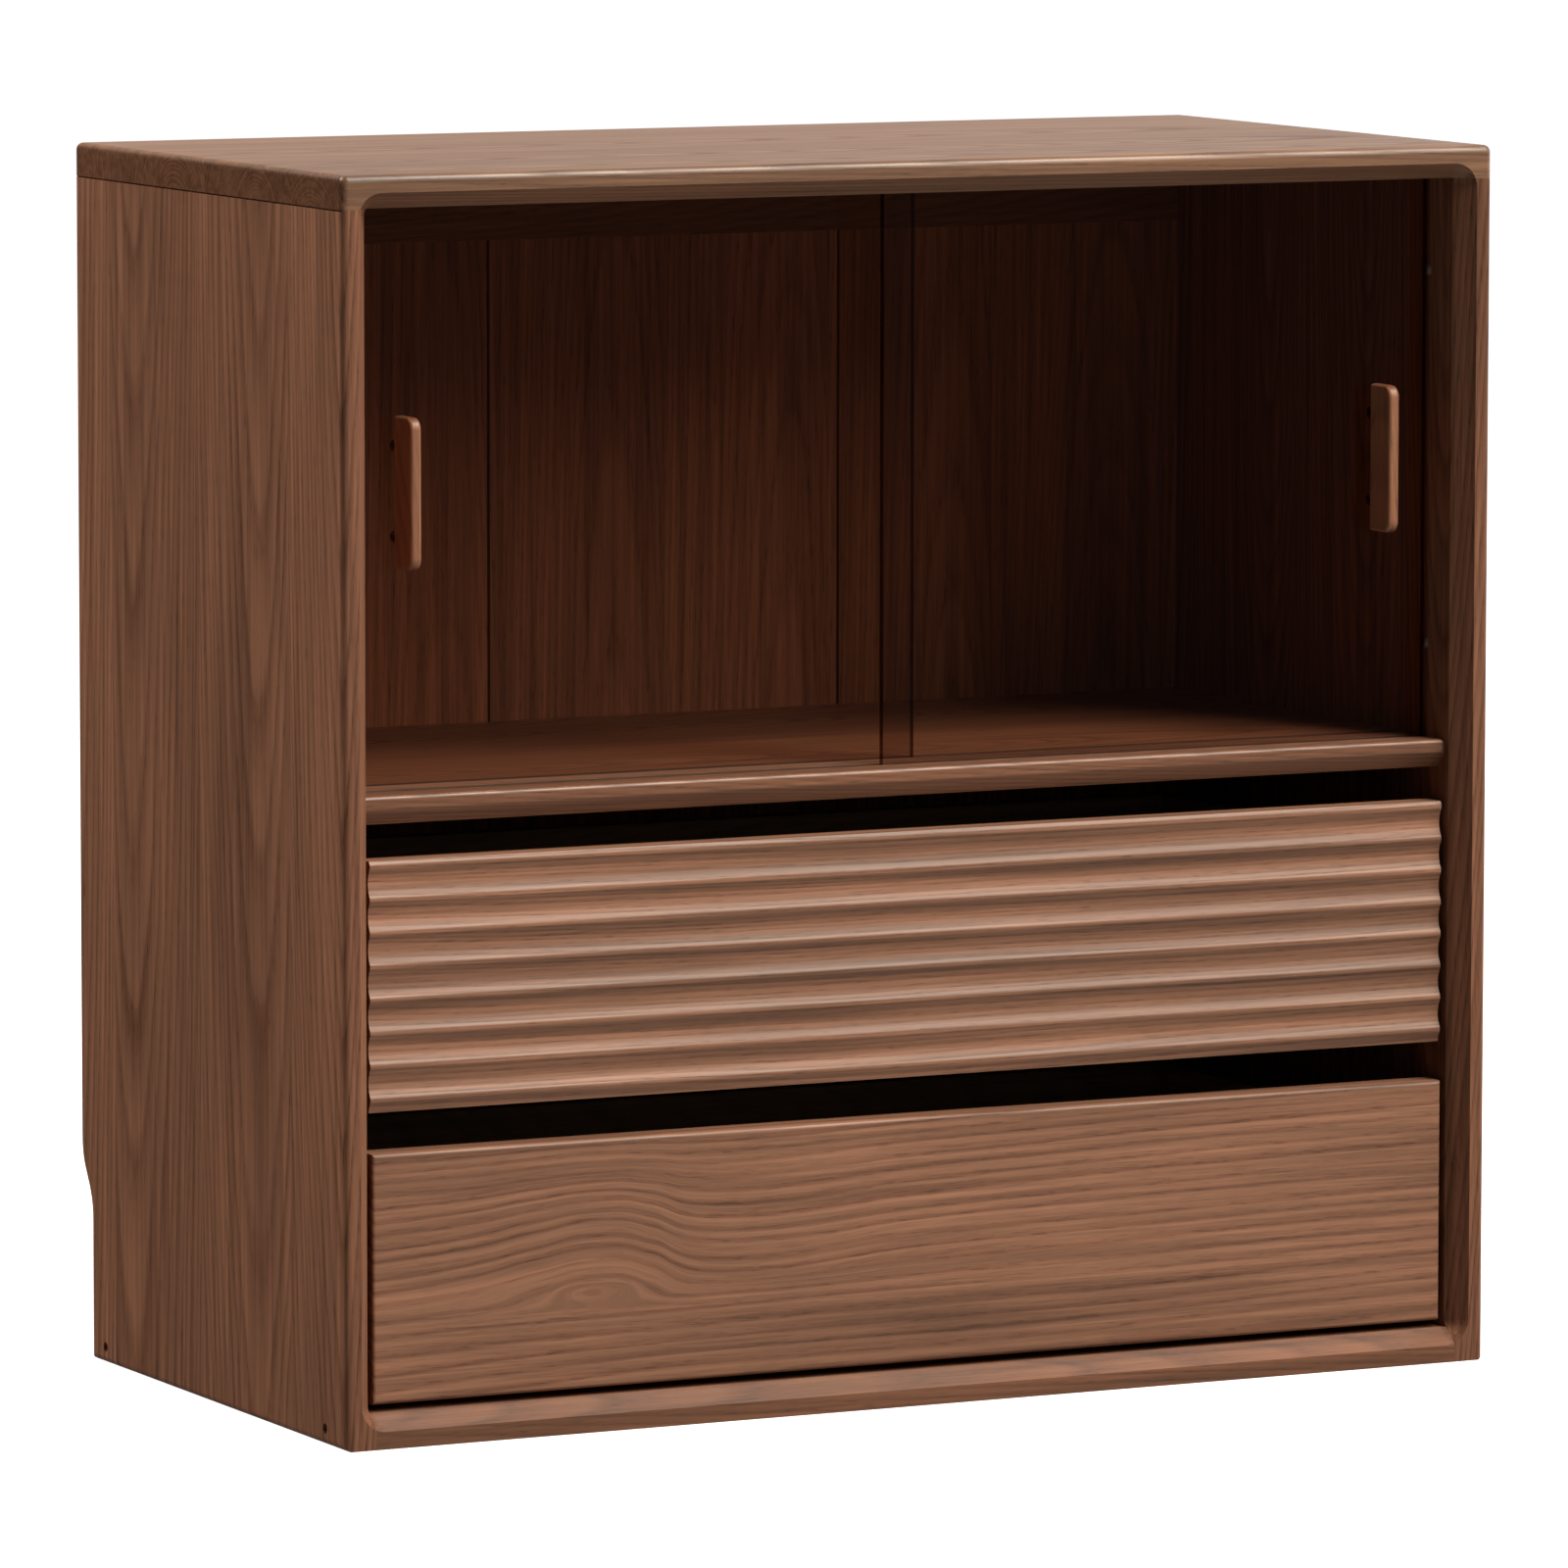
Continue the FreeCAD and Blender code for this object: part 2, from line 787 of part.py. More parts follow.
def floor_box(name, base, extra):
    """The drawer's floor panel, or with a little extra the groove that it sits in."""
    reach = cell("floor_groove") + extra
    low = base + cell("box_rise") + cell("floor_rise")
    across = (box_side(SIDES["left"])[1] - reach, box_side(SIDES["right"])[1] + reach)
    start = at_depth(cell("drawer_front_back")) - reach
    finish = at_depth(cell("drawer_front_back")) + cell("box_length") + extra
    up = (low - extra, low + cell("floor_thickness") + extra)
    return box(name, across, (start, finish), up)


def front_limits():
    end_gap = cell("drawer_end_gap")
    return inner_left + end_gap, inner_right - end_gap


def flat_front(base):
    low, high = front_limits()
    face = at_depth(cell("drawer_front_back") - cell("flat_front_thickness"))
    back = at_depth(cell("drawer_front_back"))
    outline = rectangle((face, back), (base, base + cell("drawer_front_height")))
    body = padded_body("flat_front", "YZ_Plane", outline, low, high)
    round_edges(body, cell("front_round"), lambda edge: lies_in(edge, {"y": face}))
    return body


def fluted_front(base):
    """A board with coves cut along it, and narrow rounded crests left between them."""
    low, high = front_limits()
    face = at_depth(cell("drawer_front_back") - cell("fluted_front_thickness"))
    back = at_depth(cell("drawer_front_back"))
    top = base + cell("drawer_front_height")
    body = padded_body("fluted_front", "YZ_Plane", rectangle((face, back), (base, top)), low, high)
    radius, pitch = cell("flute_radius"), cell("flute_pitch")
    sketch = body.newObject("Sketcher::SketchObject", "flute_outline")
    attach(body, sketch, "YZ_Plane", high)
    centre_y = face - (radius - cell("flute_depth"))
    lowest = top - cell("first_crest") + pitch / 2 - pitch * (FLUTES - 1)
    centre = Vector(centre_y.value, lowest.value, 0)
    sketch.addGeometry(Part.Circle(centre, Vector(0, 0, 1), radius.value), False)
    constrain(sketch, "DistanceX", 0, 3, centre_y)
    constrain(sketch, "DistanceY", 0, 3, lowest)
    size = sketch.addConstraint(Sketcher.Constraint("Radius", 0, radius.value))
    sketch.setExpression(f"Constraints[{size}]", radius.text)
    pocket = body.newObject("PartDesign::Pocket", "flute")
    pocket.Profile = sketch
    pocket.setExpression("Length", (high - low).text)
    document.recompute()
    pattern = body.newObject("PartDesign::LinearPattern", "flutes")
    pattern.Originals = [pocket]
    pattern.Direction = (sketch, ["V_Axis"])
    pattern.setExpression("Length", (pitch * (FLUTES - 1)).text)
    pattern.Occurrences = FLUTES
    body.Tip = pattern
    document.recompute()
    round_edges(
        body,
        cell("crest_round"),
        lambda edge: lies_in(edge, {"y": face}) and edge.Length > (high - low).value / 2,
    )
    return body


def drawer(name, base, front_board):
    """A drawer: its front, two sides, back, floor and dowels."""
    dowels = drawer_joint_rods(name + "_drawer_dowel", base, zero)
    keep(group(name + "_drawer_dowels", dowels), name + "_drawer_dowels")
    groove = floor_box(name + "_front_groove", base, gap)
    holes = drawer_joint_rods(name + "_front_hole", base, gap)
    keep(cut(name + "_drawer_front", front_board, [groove] + holes), name + "_drawer_front")
    start = at_depth(cell("drawer_front_back"))
    finish = start + cell("box_length")
    low = base + cell("box_rise")
    up = (low, low + cell("box_height"))
    for side_name, side in SIDES.items():
        label = f"{name}_drawer_{side_name}_side"
        board = box(label + "_blank", span(*box_side(side)), (start, finish), up)
        cuts = [floor_box(label + "_groove", base, gap)]
        cuts += drawer_joint_rods(label + "_hole", base, gap)
        cuts += inner_runner_screws(label + "_pilot", base, gap)
        keep(cut(label, board, cuts), label)
    across = (box_side(SIDES["left"])[1] + gap, box_side(SIDES["right"])[1] - gap)
    floor_top = low + cell("floor_rise") + cell("floor_thickness")
    back = box(
        name + "_drawer_back", across, (finish - cell("box_board"), finish), (floor_top + gap, up[1])
    )
    keep(back, name + "_drawer_back")
    keep(floor_box(name + "_drawer_floor", base, zero), name + "_drawer_floor")


# ---- The runners --------------------------------------------------------------------


def inner_runner_screws(name, base, extra):
    """The screws that hold a drawer's own runner members, or their pilot holes."""
    rods = []
    for side in SIDES.values():
        head_start = side["wall"] + side["inward"] * (
            cell("runner_space") - cell("runner_gauge") - cell("pan_height")
        )
        for y in runner_screw_depths():
            place = (head_start, y, runner_level(base))
            head = (cell("pan_radius"), cell("pan_height"))
            shank = (cell("pan_shank_radius") + extra, cell("pan_shank_length") + extra)
            rods.append(stepped_rod(name, place, side["axis"], head, shank))
    return rods


def channel(name, side, level, half_height, web, lip):
    """A steel channel along the cabinet's depth: its web's outer face and its lips' ends."""
    inward = side["inward"]
    gauge = cell("runner_gauge")
    web_face = side["wall"] + inward * web
    web_inside = web_face + inward * (gauge if web.value < lip.value else -gauge)
    lip_end = side["wall"] + inward * lip
    corners = [
        (web_face, level - half_height),
        (lip_end, level - half_height),
        (lip_end, level - half_height + gauge),
        (web_inside, level - half_height + gauge),
        (web_inside, level + half_height - gauge),
        (lip_end, level + half_height - gauge),
        (lip_end, level + half_height),
        (web_face, level + half_height),
    ]
    start = at_depth(cell("runner_front"))
    return padded_body(name, "XZ_Plane", corners, start, start + cell("runner_length"))


def runners(drawer_name, base):
    level = runner_level(base)
    outer_sizes = (cell("outer_half_height"), zero, cell("outer_reach"))
    middle_sizes = (cell("middle_half_height"), cell("middle_back"), cell("middle_reach"))
    inner_sizes = (cell("inner_half_height"), cell("runner_space"), cell("inner_reach"))
    for side_name, side in SIDES.items():
        stem = f"{drawer_name}_{side_name}_runner"
        outer = channel(stem + "_outer_blank", side, level, *outer_sizes)
        holes = outer_runner_screws(stem + "_outer_hole", gap)
        keep(cut(stem + "_outer", outer, holes), stem + "_outer")
        middle = channel(stem + "_middle", side, level, *middle_sizes)
        keep(middle, stem + "_middle")
        inner = channel(stem + "_inner_blank", side, level, *inner_sizes)
        holes = inner_runner_screws(stem + "_inner_hole", base, gap)
        keep(cut(stem + "_inner", inner, holes), stem + "_inner")
    screws = inner_runner_screws(drawer_name + "_drawer_screw", base, zero)
    keep(group(drawer_name + "_drawer_screws", screws), drawer_name + "_drawer_screws")


# ---- The whole cabinet --------------------------------------------------------------


def build_cabinet():
    bevel = frame_bevel()
    top_panel(bevel)
    for name, side in SIDES.items():
        side_panel(name, side, bevel)
    bottom_panel(bevel)
    middle_shelf()
    back_boards()
    back_rail()
    keep(group("carcass_dowels", dowel_rods("carcass_dowel", zero)), "carcass_dowels")
    keep(
        group("carcass_screws", bottom_screw_rods("carcass_screw", zero, False)),
        "carcass_screws",
    )
    keep(group("runner_screws", outer_runner_screws("runner_screw", zero)), "runner_screws")
    for name, side in SIDES.items():
        door_tracks(name)
        glass_door(name, side)
        door_handle(name)
        screws = handle_screw_rods(name + "_handle_screw", name, zero)
        keep(group(name + "_handle_screws", screws), name + "_handle_screws")
        door_bumpers(name, side)
    drawer("upper", DRAWERS["upper"], fluted_front(DRAWERS["upper"]))
    drawer("lower", DRAWERS["lower"], flat_front(DRAWERS["lower"]))
    for name, base in DRAWERS.items():
        runners(name, base)


def check_and_export():
    document.recompute()
    for thing in document.Objects:
        if "Invalid" in thing.State or "Error" in thing.State:
            raise RuntimeError(f"{thing.Label} failed: {thing.State}")
    for node in nodes:
        if node.Shape.isNull() or not node.Shape.isValid():
            raise RuntimeError(f"{node.Label} has no valid shape")
    os.makedirs("parts", exist_ok=True)
    for node in nodes:
        node.Shape.exportStep(f"parts/{node.Label}.step")
        print(f"{node.Label}: {node.Shape.Volume / 1000:.1f} cm3")


build_cabinet()
check_and_export()
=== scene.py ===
"""A sliding-door media cabinet in brown-stained ash: its looks, light and camera."""

import math

import bpy
from mathutils import Matrix, Vector


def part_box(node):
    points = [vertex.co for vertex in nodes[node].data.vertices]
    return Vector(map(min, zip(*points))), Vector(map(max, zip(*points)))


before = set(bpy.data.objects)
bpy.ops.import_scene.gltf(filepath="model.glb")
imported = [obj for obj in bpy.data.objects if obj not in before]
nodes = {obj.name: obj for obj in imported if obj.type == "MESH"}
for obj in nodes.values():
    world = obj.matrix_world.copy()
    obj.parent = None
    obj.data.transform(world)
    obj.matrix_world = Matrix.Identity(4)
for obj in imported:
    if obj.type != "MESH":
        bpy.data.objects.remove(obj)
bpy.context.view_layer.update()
scene = bpy.context.scene

MM = 0.001


class Graph:
    """The node tree of a material or a world. Most methods add a node and give its output."""

    def __init__(self, owner):
        owner.use_nodes = True
        self.tree = owner.node_tree

    def node(self, kind, inputs, **settings):
        node = self.tree.nodes.new(kind)
        for key, value in settings.items():
            setattr(node, key, value)
        for key, value in inputs.items():
            self.feed(node.inputs[key], value)
        return node

    def feed(self, socket, value):
        if isinstance(value, bpy.types.NodeSocket):
            self.tree.links.new(value, socket)
        else:
            socket.default_value = value

    def math(self, operation, a, b=0.0, c=0.0):
        return self.node("ShaderNodeMath", {0: a, 1: b, 2: c}, operation=operation).outputs[0]

    def product(self, first, *others):
        for other in others:
            first = self.math("MULTIPLY", first, other)
        return first

    def vector(self, x, y, z):
        return self.node("ShaderNodeCombineXYZ", {0: x, 1: y, 2: z}).outputs[0]

    def parts(self, vector):
        """A vector's three numbers, by letter."""
        return dict(zip("XYZ", self.node("ShaderNodeSeparateXYZ", {0: vector}).outputs))

    def scaled(self, vector, factors):
        inputs = {0: vector, 1: factors}
        return self.node("ShaderNodeVectorMath", inputs, operation="MULTIPLY").outputs[0]

    def coordinates(self, kind="Object"):
        return self.node("ShaderNodeTexCoord", {}).outputs[kind]

    def facing(self, letter):
        """How squarely the surface faces along one axis of its object, from 0 to 1."""
        return self.math("ABSOLUTE", self.parts(self.coordinates("Normal"))[letter])

    def noise(self, vector, scale=1.0, detail=2.0, roughness=0.5):
        inputs = {"Vector": vector, "Scale": scale, "Detail": detail, "Roughness": roughness}
        return self.node("ShaderNodeTexNoise", inputs, noise_dimensions="3D").outputs[0]

    def spread(self, value, low, high, to_low, to_high):
        """value's range from low to high laid over to_low to to_high."""
        inputs = {0: value, 1: low, 2: high, 3: to_low, 4: to_high}
        return self.node("ShaderNodeMapRange", inputs).outputs[0]

    def between(self, noise, to_low, to_high):
        """A noise laid over to_low to to_high. Most of its values lie from 0.3 to 0.7."""
        return self.spread(noise, 0.3, 0.7, to_low, to_high)

    def ramp(self, factor, stops, smooth=False):
        """stops are (place, value) pairs."""
        node = self.node("ShaderNodeValToRGB", {0: factor})
        ramp = node.color_ramp
        ramp.interpolation = "EASE" if smooth else "LINEAR"
        while len(ramp.elements) < len(stops):
            ramp.elements.new(0.5)
        for element, (place, value) in zip(ramp.elements, stops):
            element.position = place
            element.color = (value, value, value, 1)
        return node.outputs[0]

    def curve(self, value, points):
        """The height at value of a smooth curve through (place, height) points."""
        node = self.node("ShaderNodeFloatCurve", {1: value})
        line = node.mapping.curves[0].points
        while len(line) < len(points):
            line.new(0.5, 0.5)
        for point, place in zip(line, points):
            point.location = place
        node.mapping.update()
        return node.outputs[0]

    def mix(self, factor, a, b, blend="MIX"):
        settings = {"data_type": "RGBA", "blend_type": blend}
        return self.node("ShaderNodeMix", {0: factor, 6: a, 7: b}, **settings).outputs[2]

    def toned(self, colour, tone):
        """colour made darker where tone is under 1, and lighter where it is over 1."""
        return self.mix(1.0, colour, self.vector(tone, tone, tone), "MULTIPLY")


class Surface(Graph):
    """A new material with its Principled shader."""

    def __init__(self, name):
        self.material = bpy.data.materials.new(name)
        super().__init__(self.material)
        self.shader = self.tree.nodes["Principled BSDF"]

    def shade(self, **values):
        """Sets the shader's own sockets, such as Base_Color."""
        for key, value in values.items():
            self.feed(self.shader.inputs[key.replace("_", " ")], value)

    def bump(self, height, distance, strength):
        inputs = {"Height": height, "Distance": distance, "Strength": strength}
        self.shade(Normal=self.node("ShaderNodeBump", inputs).outputs[0])


def paint(material, *names):
    for name in names:
        slots = nodes[name].data.materials
        slots.clear()
        slots.append(material)


# Wood ---------------------------------------------------------------------

LIGHT_WOOD = (0.28, 0.112, 0.053)
DARK_WOOD = (0.125, 0.041, 0.018)
END_STAIN = (0.55, 0.5, 0.52, 1)  # what is left of the colour on sawn ends
LACQUER_TINT = (1.0, 0.97, 0.86, 1)

# How often each kind of mark repeats per metre: across, through and along the grain.
TRUNK_WAVES = (8, 8, 1.7)
PATCHES = (14, 14, 2)
RIPPLES = (45, 45, 4)
STREAKS = (150, 150, 2.5)
FIBRES = (700, 700, 14)
PORES = (1300, 1300, 75)

# How much of the wood is early wood, as a year goes from 0 to 1.
SEASONS = [(0.0, 0.6), (0.12, 1.0), (0.35, 0.5), (0.62, 0.15), (0.88, 0.0), (1.0, 0.5)]
# How fast the width of the years changes, per year, and how many years that moves a ring.
WIDTH_CHANGE, WIDTH_SWING = 0.31, 2.4
# How fast the share of early wood changes, per year and per metre of the trunk.
PLENTY_CHANGE, PLENTY_ALONG = 0.73, 3
WAVE_HEIGHT, RIPPLE_HEIGHT = 4, 0.7  # how far they move a ring, in units of wobble
TRUNK_LENGTH = 9.0  # each board is cut from its own place along this many metres
BOARD_SEED_STEP, WIDTH_SEED_STEP = 7.31, 3.1  # keep woods with different seeds apart


def growth(
    g,
    grain,
    across,
    stave=0.14,
    start=0.0,
    face=0.0,
    seed=1.0,
    ring=3.4 * MM,
    pith=55 * MM,
    off_centre=0.0,
    wander=0.6,
    tilt=0.07,
    wobble=3 * MM,
    figure=None,
):
    """Boards sawn from a ring-porous log, glued side by side.

    A ring is where the distance from the log's pith is the same. The pith runs under each
    board at its own depth and slant, so that the rings come out as nested arches along the
    middle of the board and as straight lines towards its edges.

    Gives the place inside the log, the share of early wood there, and a number from 0 to 1
    that each board has for itself.
    """
    axes = g.parts(g.coordinates())
    through = next(letter for letter in "XYZ" if letter not in (grain, across))
    along, side, depth = axes[grain], axes[across], axes[through]

    # Which board this is, and three numbers of its own.
    place = g.math("DIVIDE", g.math("SUBTRACT", side, start), stave)
    index = g.math("FLOOR", place)
    key = {"W": g.math("ADD", index, seed * BOARD_SEED_STEP)}
    own = g.node("ShaderNodeTexWhiteNoise", key, noise_dimensions="1D").outputs["Color"]
    chance = g.node("ShaderNodeSeparateColor", {0: own}).outputs

    # The place in the log: u across the board, depth through it, w along the trunk.
    from_middle = g.math("SUBTRACT", g.math("SUBTRACT", place, index), 0.5)
    aside = g.math("MULTIPLY_ADD", g.math("SUBTRACT", chance[0], 0.5), wander, off_centre)
    u = g.math("MULTIPLY", g.math("ADD", from_middle, aside), stave)
    if figure:
        u = g.math("ADD", u, figure(g, along, side))
    shift = g.math("MULTIPLY", chance[1], TRUNK_LENGTH)
    w = g.math("ADD", along, shift)
    point = g.vector(u, depth, w)

    # The distance from the pith, with slow waves along the trunk and small ripples.
    slant = g.math("MULTIPLY_ADD", chance[2], tilt, tilt * 0.5)
    pith_depth = g.math("ADD", g.math("MULTIPLY", along, slant), pith)
    v = g.math("ADD", g.math("SUBTRACT", depth, face), pith_depth)
    radius = g.math("SQRT", g.math("ADD", g.math("MULTIPLY", u, u), g.math("MULTIPLY", v, v)))
    waves = g.noise(g.scaled(point, TRUNK_WAVES), detail=1)
    ripples = g.noise(g.scaled(point, RIPPLES))
    radius = g.math("MULTIPLY_ADD", waves, wobble * WAVE_HEIGHT, radius)
    radius = g.math("MULTIPLY_ADD", ripples, wobble * RIPPLE_HEIGHT, radius)

    # Some years are wider than others, and some have more early wood.
    years = g.math("DIVIDE", radius, ring)
    era = g.vector(g.math("MULTIPLY", years, WIDTH_CHANGE), seed * WIDTH_SEED_STEP, shift)
    years = g.math("MULTIPLY_ADD", g.noise(era, detail=1), WIDTH_SWING, years)
    year = g.math("MULTIPLY", g.math("FLOOR", years), PLENTY_CHANGE)
    plenty = g.noise(g.vector(year, seed, g.math("MULTIPLY", w, PLENTY_ALONG)), detail=1)
    early = g.product(
        g.ramp(g.math("FRACT", years), SEASONS),
        g.between(plenty, 0.45, 1.0),
    )
    return point, early, chance[1]


def wood(
    name,
    grain,
    across,
    light=LIGHT_WOOD,
    dark=DARK_WOOD,
    tint=1.0,
    contrast=0.5,
    streakiness=0.13,
    roughness=0.42,
    shine=0.15,
    **sawing,
):
    """Stained and lacquered wood. sawing says how growth() cuts the boards from the log."""
    g = Surface(name)
    point, early, own = growth(g, grain, across, **sawing)

    # Fibres, and the open pores that hold the stain. Most pores are in the early wood.
    fibres = g.noise(g.scaled(point, FIBRES), detail=3, roughness=0.6)
    streaks = g.noise(g.scaled(point, STREAKS), detail=4, roughness=0.65)
    patches = g.noise(g.scaled(point, PATCHES))
    holes = g.noise(g.scaled(point, PORES), detail=1)
    pores = g.product(
        g.ramp(holes, [(0.55, 0.0), (0.65, 1.0)]),
        g.math("MULTIPLY_ADD", early, 0.8, 0.2),
    )

    light, dark = [(*(part * tint for part in colour), 1) for colour in (light, dark)]
    tone = g.product(
        g.between(patches, 0.86, 1.14),
        g.spread(streaks, 0.35, 0.65, 1 - streakiness, 1 + streakiness),
        g.between(fibres, 0.88, 1.12),
        g.math("MULTIPLY_ADD", own, 0.14, 0.93),
        g.math("MULTIPLY_ADD", pores, -0.45, 1.0),
    )
    colour = g.toned(g.mix(g.math("MULTIPLY", early, contrast), light, dark), tone)

    # Sawn ends drink more of the stain and stay dull.
    ends = g.spread(g.facing(grain), 0.6, 0.95, 0.0, 1.0)
    colour = g.mix(ends, colour, g.mix(1.0, colour, END_STAIN, "MULTIPLY"))
    gloss = g.spread(ends, 0.0, 1.0, shine, shine * 0.1)

    rough = g.math("MULTIPLY_ADD", early, 0.12, roughness)
    rough = g.math("MULTIPLY_ADD", g.math("SUBTRACT", fibres, 0.5), 0.12, rough)
    g.shade(
        Base_Color=colour,
        Roughness=rough,
        Specular_IOR_Level=gloss,
        Specular_Tint=LACQUER_TINT,
    )
    height = g.math("MULTIPLY", early, -0.1)
    height = g.math("MULTIPLY_ADD", pores, -0.6, height)
    height = g.math("MULTIPLY_ADD", fibres, 0.3, height)
    g.bump(height, 0.1 * MM, 0.6)
    return g.material


# The swirl beside a knot on the lower drawer. Its line goes from the front's left end to
# its right end, both as 0 to 1, and rises above and falls under 0.5. Its share says how
# much of that each height of the front takes, from the bottom to the top.
SWIRL_LINE = [
    (0.0, 0.46),
    (0.08, 0.5),
    (0.15, 0.6),
    (0.205, 0.66),
    (0.25, 0.58),
    (0.3, 0.42),
    (0.36, 0.4),
    (0.5, 0.47),
    (1.0, 0.5),
]
SWIRL_SHARE = [(0.3, 0.0), (0.42, 1.0), (0.62, 0.8), (1.0, 0.1)]
SWIRL_REACH = 95 * MM


def swirl(g, along, side):
    """How far the lower front's wood is moved across its grain."""
    low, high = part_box("lower_drawer_front")
    line = g.curve(g.spread(along, low.x, high.x, 0.0, 1.0), SWIRL_LINE)
    share = g.ramp(g.spread(side, low.z, high.z, 0.0, 1.0), SWIRL_SHARE, smooth=True)
    return g.product(g.math("SUBTRACT", line, 0.5), share, -SWIRL_REACH)


def board(node, grain, across, outer, **settings):
    """A board's own wood. outer is the corner, 0 or 1, that its best face passes through."""
    through = next(index for index in range(3) if "XYZ"[index] not in (grain, across))
    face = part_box(node)[outer][through]
    paint(wood(node + "_wood", grain, across, face=face, **settings), node)


SIDE_BOARDS = {
    "light": (0.275, 0.12, 0.066),
    "dark": (0.13, 0.049, 0.024),
    "stave": 0.138,
    "start": 0.012,
    "ring": 4.6 * MM,
    "pith": 100 * MM,
    "tilt": -0.07,
    "wobble": 4 * MM,
    "streakiness": 0.26,
    "contrast": 0.75,
    "shine": 0.08,
}
LEVEL_BOARDS = {
    "stave": 0.13,
    "streakiness": 0.25,
    "contrast": 0.7,
    "roughness": 0.38,
    "shine": 0.75,
}
BACK_BOARDS = {
    "tint": 1.25,
    "stave": 0.12,
    "pith": 40 * MM,
    "tilt": 0.03,
    "streakiness": 0.3,
    "contrast": 0.45,
}
FRONTS = {
    "light": (0.265, 0.12, 0.064),
    "dark": (0.14, 0.05, 0.023),
    "tint": 1.4,
    "stave": 0.4,
    "wander": 0,
    "tilt": 0.02,
    "streakiness": 0.28,
    "roughness": 0.45,
    "shine": 0.6,
}
BOX_BOARDS = {
    "light": (0.42, 0.3, 0.19),
    "dark": (0.3, 0.2, 0.12),
    "stave": 0.5,
    "start": -0.25,
}


def carcass():
    board("left_side_panel", "Z", "Y", 0, seed=3, **SIDE_BOARDS)
    board("right_side_panel", "Z", "Y", 1, seed=12, tint=0.95, **SIDE_BOARDS)
    # The top panel's light colour is yellower than the other boards': painted sheen, standing in
    # for the pale reflection on its top face.
    board("top_panel", "X", "Y", 1, seed=5, light=(0.275, 0.13, 0.063), **LEVEL_BOARDS)
    board("bottom_panel", "X", "Y", 1, seed=6, **LEVEL_BOARDS)
    board("middle_shelf", "X", "Y", 1, seed=7, **LEVEL_BOARDS)
    board("back_top_rail", "X", "Z", 0, seed=11, stave=0.3, contrast=0.4)
    for seed, place in enumerate(("left", "centre", "right"), start=8):
        board(f"back_board_{place}", "Z", "X", 0, seed=seed, **BACK_BOARDS)


def drawers():
    fluted = {
        "start": 0.09,
        "off_centre": 0.62,
        "pith": 30 * MM,
        "wobble": 6 * MM,
        "contrast": 0.7,
    }
    board("upper_drawer_front", "X", "Z", 0, seed=2, **fluted, **FRONTS)
    flat = {"start": -0.1, "off_centre": 0.36, "ring": 6 * MM, "contrast": 0.95}
    front = wood("flat_front_wood", "X", "Z", seed=4, figure=swirl, **flat, **FRONTS)
    paint(front, "lower_drawer_front")

    box = wood("box_wood", "X", "Z", seed=9, **BOX_BOARDS)
    box_side = wood("box_side_wood", "Y", "Z", seed=10, **BOX_BOARDS)
    for drawer in ("upper_drawer", "lower_drawer"):
        paint(box_side, f"{drawer}_left_side", f"{drawer}_right_side")
        paint(box, f"{drawer}_back", f"{drawer}_floor")
    paint(box, "carcass_dowels", "upper_drawer_dowels", "lower_drawer_dowels")


# Glass, metal and plastic -------------------------------------------------

GLASS_TINT = (0.88, 0.83, 0.8, 1)  # what passes one of a pane's two faces
EDGE_TINT = (0.25, 0.17, 0.14, 1)  # and what passes its polished edge


def smoked_glass():
    """Brown glass: it colours what is behind it, and reflects a little at its surface."""
    g = Surface("smoked_glass")
    g.tree.nodes.remove(g.shader)
    edge = g.spread(g.facing("X"), 0.4, 0.8, 0.0, 1.0)
    tint = g.mix(edge, GLASS_TINT, EDGE_TINT)
    clear = g.node("ShaderNodeBsdfTransparent", {0: tint}).outputs[0]
    smudges = g.noise(g.coordinates(), scale=9, detail=4)
    polish = {"Color": (1, 1, 1, 1), "Roughness": g.spread(smudges, 0.35, 0.7, 0.03, 0.07)}
    gloss = g.node("ShaderNodeBsdfAnisotropic", polish).outputs[0]
    # Only the face that light meets from outside reflects it.
    outside = g.math("SUBTRACT", 1.0, g.node("ShaderNodeNewGeometry", {}).outputs["Backfacing"])
    share = g.product(g.node("ShaderNodeFresnel", {"IOR": 1.22}).outputs[0], outside)
    pane = g.node("ShaderNodeMixShader", {0: share, 1: clear, 2: gloss}).outputs[0]
    g.feed(g.tree.nodes["Material Output"].inputs[0], pane)
    return g.material


def metal(name, colour, roughness, lines):
    """Worn metal. lines is how often its brushed lines repeat per metre, on each axis."""
    g = Surface(name)
    brushed = g.noise(g.scaled(g.coordinates(), lines))
    smudges = g.noise(g.coordinates(), scale=40, detail=3)
    tone = g.product(g.between(brushed, 0.9, 1.1), g.between(smudges, 0.93, 1.05))
    g.shade(
        Base_Color=g.toned((*colour, 1), tone),
        Metallic=1.0,
        Roughness=g.between(smudges, roughness - 0.06, roughness + 0.08),
    )
    g.bump(brushed, 0.03 * MM, 0.4)
    return g.material


def moulded(name, colour, roughness):
    """Plastic or rubber with a fine texture and a little dust."""
    g = Surface(name)
    fine = g.noise(g.coordinates(), scale=1800)
    dust = g.noise(g.coordinates(), scale=55, detail=4)
    tone = g.product(g.between(dust, 0.88, 1.14), g.between(fine, 0.95, 1.05))
    g.shade(
        Base_Color=g.toned((*colour, 1), tone),
        Roughness=g.between(dust, roughness - 0.05, roughness + 0.1),
    )
    g.bump(fine, 0.04 * MM, 0.5)
    return g.material


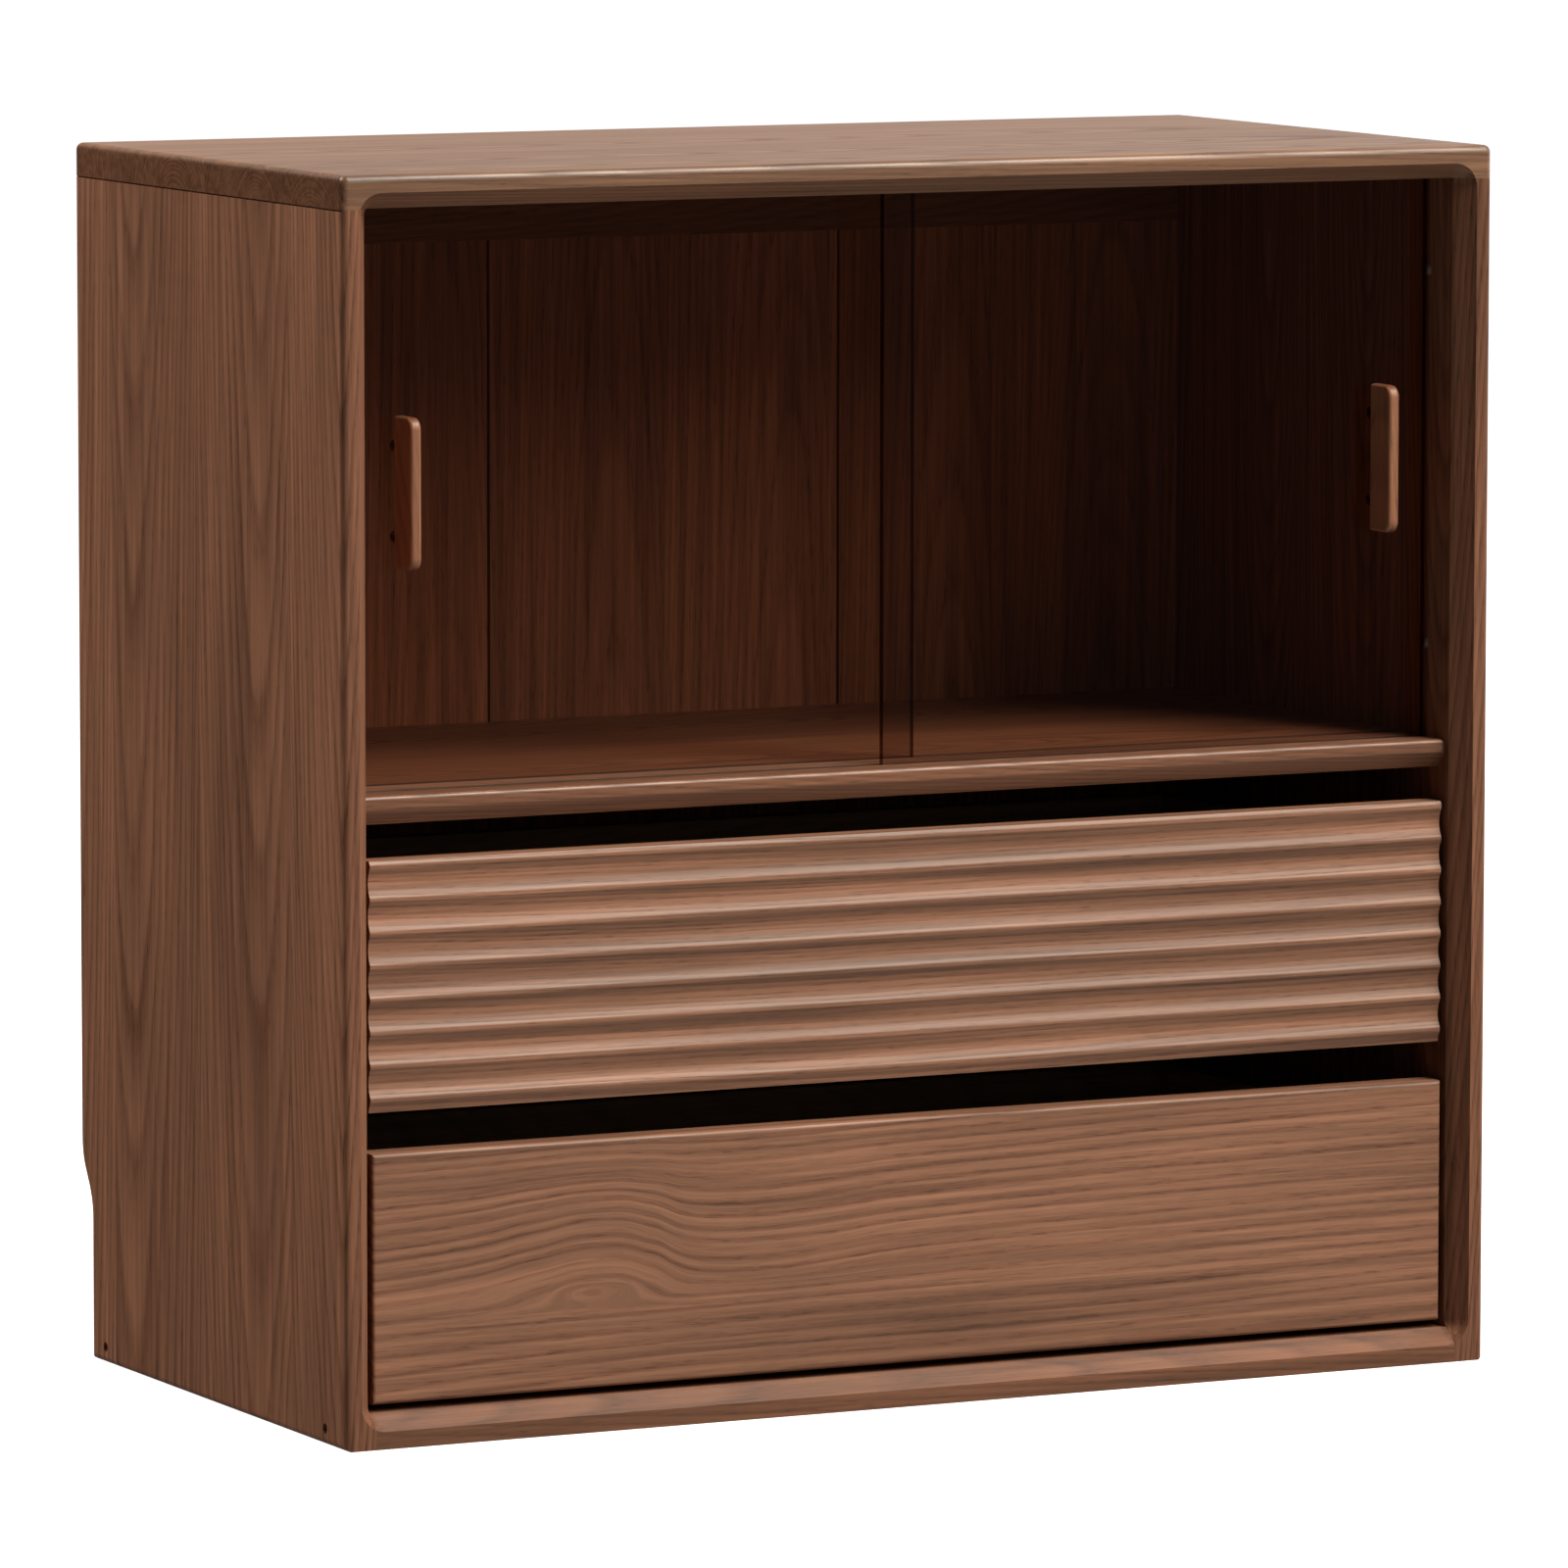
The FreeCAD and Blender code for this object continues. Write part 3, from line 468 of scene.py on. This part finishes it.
def hardware():
    """The runners, the door tracks and every screw. doors() gives the handle screws theirs."""
    runner_steel = metal("runner_steel", (0.62, 0.62, 0.6), 0.34, (900, 12, 900))
    paint(runner_steel, *[name for name in nodes if "_runner_" in name])
    screw_steel = metal("screw_steel", (0.3, 0.28, 0.26), 0.32, (500, 500, 500))
    paint(screw_steel, *[name for name in nodes if name.endswith("_screws")])
    track_plastic = moulded("track_plastic", (0.1, 0.05, 0.03), 0.5)
    paint(track_plastic, *[name for name in nodes if name.endswith("_track")])


def doors():
    paint(smoked_glass(), "left_glass_door", "right_glass_door")
    grip = wood("handle_wood", "Z", "Y", seed=6, stave=0.3, tint=1.25, shine=0.6)
    paint(grip, "left_door_handle", "right_door_handle")
    bronze = metal("bronzed_steel", (0.3, 0.16, 0.1), 0.5, (500, 500, 500))
    paint(bronze, "left_handle_screws", "right_handle_screws")
    rubber = moulded("bumper_rubber", (0.22, 0.15, 0.12), 0.35)
    paint(rubber, "left_door_bumpers", "right_door_bumpers")


# Floor, light and camera --------------------------------------------------

FLOOR_REACH = 60.0


def floor():
    """A white floor that shines by itself, so that the cabinet hardly shades it."""
    reach = FLOOR_REACH
    corners = [(-reach, -reach, 0), (reach, -reach, 0), (reach, reach, 0), (-reach, reach, 0)]
    mesh = bpy.data.meshes.new("floor")
    mesh.from_pydata(corners, [], [(0, 1, 2, 3)])
    plane = bpy.data.objects.new("floor", mesh)
    scene.collection.objects.link(plane)
    g = Surface("floor")
    mottle = g.noise(g.coordinates(), scale=3, detail=4)
    g.shade(
        Base_Color=g.mix(mottle, (0.6, 0.6, 0.6, 1), (0.7, 0.7, 0.7, 1)),
        Roughness=0.8,
        Specular_IOR_Level=0.1,
        Emission_Color=(1, 1, 1, 1),
        Emission_Strength=0.9,
    )
    mesh.materials.append(g.material)
    plane.visible_diffuse = plane.visible_glossy = False


# Each soft wall of the studio: where it is, how narrow its glow is and how bright.
SKY_WALLS = {
    "behind": ((0.9, 0.4, 0.12), 4.0, 1.55),
    "front": ((0, -1, 0), 2.0, 0.12),
    "below": ((0, 0, -1), 2.0, 0.62),
}
SKY_GLOW = 0.015


def sky():
    """A studio lit by soft walls. Each glows most along its own direction."""
    scene.world = bpy.data.worlds.new("studio")
    g = Graph(scene.world)
    direction = g.coordinates("Generated")
    total = SKY_GLOW
    for axis, power, strength in SKY_WALLS.values():
        inputs = {0: direction, 1: Vector(axis).normalized()}
        facing = g.node("ShaderNodeVectorMath", inputs, operation="DOT_PRODUCT").outputs["Value"]
        glow = g.math("POWER", g.math("MAXIMUM", facing, 0.0), power)
        total = g.math("ADD", g.math("MULTIPLY", glow, strength), total)
    g.feed(g.tree.nodes["Background"].inputs[0], total)


# Each lamp: its place, how high on the cabinet it is aimed, its width, height and power.
LAMPS = {
    "high_key": ((2.2, -3.2, 6.0), 0.35, 2.4, 2.0, 330),
    "low_key": ((3.1, -4.3, 4.2), 0.35, 2.4, 4.0, 195),
    "side": ((-3.2, 2.2, 3.6), 0.4, 2.0, 2.0, 200),
}


def lamp(name, place, aimed_at, width, height, power):
    light = bpy.data.lights.new(name, "AREA")
    light.shape = "RECTANGLE"
    light.size, light.size_y, light.energy = width, height, power
    holder = bpy.data.objects.new(name, light)
    holder.location = place
    aim = Vector((0, 0, aimed_at)) - Vector(place)
    holder.rotation_euler = aim.to_track_quat("-Z", "Y").to_euler()
    scene.collection.objects.link(holder)


CAMERA_PLACE = (-3.158, -6.3583, 1.1668)
CAMERA_YAW = 0.461163
CAMERA_DIP = 0.111683
CAMERA_ROLL = 0.001036
LENS, SENSOR = 256.55, 36
NEAREST, FARTHEST = 0.1, 200


def camera():
    data = bpy.data.cameras.new("camera")
    data.lens, data.sensor_width = LENS, SENSOR
    data.clip_start, data.clip_end = NEAREST, FARTHEST
    holder = bpy.data.objects.new("camera", data)
    scene.collection.objects.link(holder)
    holder.matrix_world = (
        Matrix.Translation(CAMERA_PLACE)
        @ Matrix.Rotation(-CAMERA_YAW, 4, "Z")
        @ Matrix.Rotation(math.pi / 2 - CAMERA_DIP, 4, "X")
        @ Matrix.Rotation(CAMERA_ROLL, 4, "Z")
    )
    scene.camera = holder


carcass()
drawers()
hardware()
doors()
floor()
sky()
for lamp_name, settings in LAMPS.items():
    lamp(lamp_name, *settings)
camera()
scene.view_settings.view_transform = "Standard"
